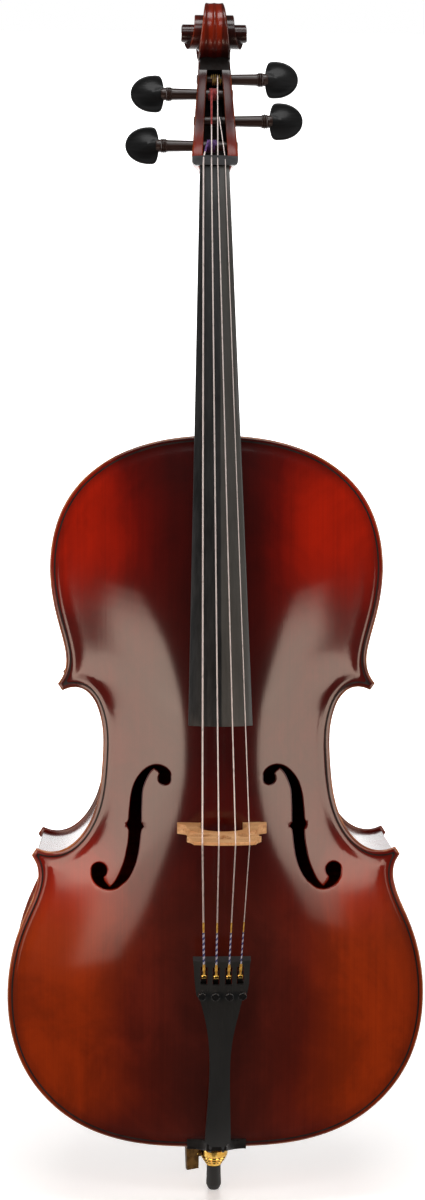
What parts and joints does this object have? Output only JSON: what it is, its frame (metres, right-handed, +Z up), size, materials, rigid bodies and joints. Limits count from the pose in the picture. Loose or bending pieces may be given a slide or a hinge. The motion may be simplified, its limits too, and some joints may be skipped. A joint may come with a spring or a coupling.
{
  "type": "cello",
  "caption": "Full-size bowed string instrument with carved arched body, scroll neck, tuning pegs, bridge, tailpiece with fine tuners and a sliding endpin.",
  "frame": {"origin": "lowest point of the rubber endpin tip, on the endpin axis", "axes": "+Z up along the body towards the scroll, -Y the front with the strings, +X the treble side"},
  "size_m": [0.4408, 0.2636, 1.279],
  "materials": {
    "spruce_varnished": "gloss",
    "maple_varnished": "gloss",
    "neck_varnished": "gloss",
    "inner_wood": "raw",
    "purfling_wood": "satin",
    "ebony": "satin",
    "ebony_gloss": "gloss",
    "bridge_maple": "satin",
    "tail_black": "satin",
    "tuner_black": "gloss",
    "steel": "polished",
    "string_metal": "wound",
    "gold": "polished",
    "cord": "satin",
    "tip_rubber": "matte"
  },
  "bodies": {
    "instrument": {"top_plate": "spruce_varnished", "back_plate": "maple_varnished", "rib_lower_bass": "maple_varnished", "rib_lower_treble": "maple_varnished", "rib_c_bass": "maple_varnished", "rib_c_treble": "maple_varnished", "rib_upper_bass": "maple_varnished", "rib_upper_treble": "maple_varnished", "neck": "neck_varnished", "linings_top": "inner_wood", "linings_back": "inner_wood", "block_upper": "inner_wood", "block_lower": "inner_wood", "corner_blocks": "inner_wood", "bass_bar": "inner_wood", "sound_post": "inner_wood", "purfling_top": "purfling_wood", "purfling_back": "purfling_wood", "fingerboard": "ebony", "endpin_plug": "ebony", "saddle": "ebony", "nut": "ebony_gloss", "bridge": "bridge_maple", "tailpiece": "tail_black", "tuner_pin": "steel", "string_c": "string_metal", "string_g": "string_metal", "string_d": "string_metal", "string_a": "string_metal", "endpin_collar": "gold", "tail_cord": "cord"},
    "peg_c_set": {"peg_c": "ebony_gloss", "peg_winding_c": "string_metal"},
    "peg_g_set": {"peg_g": "ebony_gloss", "peg_winding_g": "string_metal"},
    "peg_d_set": {"peg_d": "ebony_gloss", "peg_winding_d": "string_metal"},
    "peg_a_set": {"peg_a": "ebony_gloss", "peg_winding_a": "string_metal"},
    "tuner_screw_c_body": {"tuner_screw_c": "steel"},
    "tuner_knob_c_body": {"tuner_knob_c": "tuner_black"},
    "tuner_lever_c_body": {"tuner_lever_c": "steel", "string_ball_c": "gold"},
    "tuner_screw_g_body": {"tuner_screw_g": "steel"},
    "tuner_knob_g_body": {"tuner_knob_g": "tuner_black"},
    "tuner_lever_g_body": {"tuner_lever_g": "steel", "string_ball_g": "gold"},
    "tuner_screw_d_body": {"tuner_screw_d": "steel"},
    "tuner_knob_d_body": {"tuner_knob_d": "tuner_black"},
    "tuner_lever_d_body": {"tuner_lever_d": "steel", "string_ball_d": "gold"},
    "tuner_screw_a_body": {"tuner_screw_a": "steel"},
    "tuner_knob_a_body": {"tuner_knob_a": "tuner_black"},
    "tuner_lever_a_body": {"tuner_lever_a": "steel", "string_ball_a": "gold"},
    "endpin_rod_body": {"endpin_rod": "steel"},
    "endpin_tip_body": {"endpin_tip": "tip_rubber"},
    "clamp_screw_body": {"clamp_screw": "gold"},
    "clamp_wing_body": {"clamp_wing": "gold"}
  },
  "joints": [
    {"name": "peg_c_turn", "type": "hinge", "parent": "instrument", "child": "peg_c_set", "pos_m": [0, -0.036, 1.1248], "axis": [1, 0, 0], "continuous": true},
    {"name": "peg_g_turn", "type": "hinge", "parent": "instrument", "child": "peg_g_set", "pos_m": [0, -0.019, 1.1812], "axis": [1, 0, 0], "continuous": true},
    {"name": "peg_d_turn", "type": "hinge", "parent": "instrument", "child": "peg_d_set", "pos_m": [0, -0.012, 1.198], "axis": [1, 0, 0], "continuous": true},
    {"name": "peg_a_turn", "type": "hinge", "parent": "instrument", "child": "peg_a_set", "pos_m": [0, -0.027, 1.1521], "axis": [1, 0, 0], "continuous": true},
    {"name": "tuner_c_travel", "type": "slide", "parent": "instrument", "child": "tuner_screw_c_body", "axis": [0, 0.9666, 0.2564], "range_m": [0, 0.004]},
    {"name": "tuner_c_turn", "type": "hinge", "parent": "tuner_screw_c_body", "child": "tuner_knob_c_body", "pos_m": [-0.0166, -0.12833, 0.25319], "axis": [0, 0.9666, 0.2564], "range_deg": [0, 2057.3]},
    {"name": "tuner_c_lever", "type": "hinge", "parent": "instrument", "child": "tuner_lever_c_body", "pos_m": [-0.0147, -0.12742, 0.28095], "axis": [1, 0, 0], "range_deg": [-0.05, 8.7]},
    {"name": "tuner_g_travel", "type": "slide", "parent": "instrument", "child": "tuner_screw_g_body", "axis": [0, 0.9666, 0.2564], "range_m": [0, 0.004]},
    {"name": "tuner_g_turn", "type": "hinge", "parent": "tuner_screw_g_body", "child": "tuner_knob_g_body", "pos_m": [-0.003, -0.12833, 0.25319], "axis": [0, 0.9666, 0.2564], "range_deg": [0, 2057.3]},
    {"name": "tuner_g_lever", "type": "hinge", "parent": "instrument", "child": "tuner_lever_g_body", "pos_m": [-0.00235, -0.12742, 0.28095], "axis": [1, 0, 0], "range_deg": [-0.05, 8.7]},
    {"name": "tuner_d_travel", "type": "slide", "parent": "instrument", "child": "tuner_screw_d_body", "axis": [0, 0.9666, 0.2564], "range_m": [0, 0.004]},
    {"name": "tuner_d_turn", "type": "hinge", "parent": "tuner_screw_d_body", "child": "tuner_knob_d_body", "pos_m": [0.0113, -0.12833, 0.25319], "axis": [0, 0.9666, 0.2564], "range_deg": [0, 2057.3]},
    {"name": "tuner_d_lever", "type": "hinge", "parent": "instrument", "child": "tuner_lever_d_body", "pos_m": [0.01055, -0.12742, 0.28095], "axis": [1, 0, 0], "range_deg": [-0.05, 8.7]},
    {"name": "tuner_a_travel", "type": "slide", "parent": "instrument", "child": "tuner_screw_a_body", "axis": [0, 0.9666, 0.2564], "range_m": [0, 0.004]},
    {"name": "tuner_a_turn", "type": "hinge", "parent": "tuner_screw_a_body", "child": "tuner_knob_a_body", "pos_m": [0.02475, -0.12833, 0.25319], "axis": [0, 0.9666, 0.2564], "range_deg": [0, 2057.3]},
    {"name": "tuner_a_lever", "type": "hinge", "parent": "instrument", "child": "tuner_lever_a_body", "pos_m": [0.02245, -0.12742, 0.28095], "axis": [1, 0, 0], "range_deg": [-0.05, 8.7]},
    {"name": "endpin_slide", "type": "slide", "parent": "instrument", "child": "endpin_rod_body", "axis": [0, 0, -1], "range_m": [0, 0.38]},
    {"name": "tip_pull", "type": "slide", "parent": "endpin_rod_body", "child": "endpin_tip_body", "axis": [0, 0, -1], "range_m": [0, 0.03]},
    {"name": "clamp_travel", "type": "slide", "parent": "instrument", "child": "clamp_screw_body", "axis": [-0.9304, -0.3665, 0], "range_m": [0, 0.003]},
    {"name": "clamp_turn", "type": "hinge", "parent": "clamp_screw_body", "child": "clamp_wing_body", "pos_m": [-0.02419, -0.00953, 0.0425], "axis": [-0.9304, -0.3665, 0], "range_deg": [0, 1350.2]}
  ],
  "couplings": [
    {"joint": "tuner_c_turn", "follows": "tuner_c_travel", "rad_per_m": 8976},
    {"joint": "tuner_c_lever", "follows": "tuner_c_travel", "rad_per_m": 37.453},
    {"joint": "tuner_g_turn", "follows": "tuner_g_travel", "rad_per_m": 8976},
    {"joint": "tuner_g_lever", "follows": "tuner_g_travel", "rad_per_m": 37.453},
    {"joint": "tuner_d_turn", "follows": "tuner_d_travel", "rad_per_m": 8976},
    {"joint": "tuner_d_lever", "follows": "tuner_d_travel", "rad_per_m": 37.453},
    {"joint": "tuner_a_turn", "follows": "tuner_a_travel", "rad_per_m": 8976},
    {"joint": "tuner_a_lever", "follows": "tuner_a_travel", "rad_per_m": 37.453},
    {"joint": "clamp_turn", "follows": "clamp_travel", "rad_per_m": 7854}
  ]
}
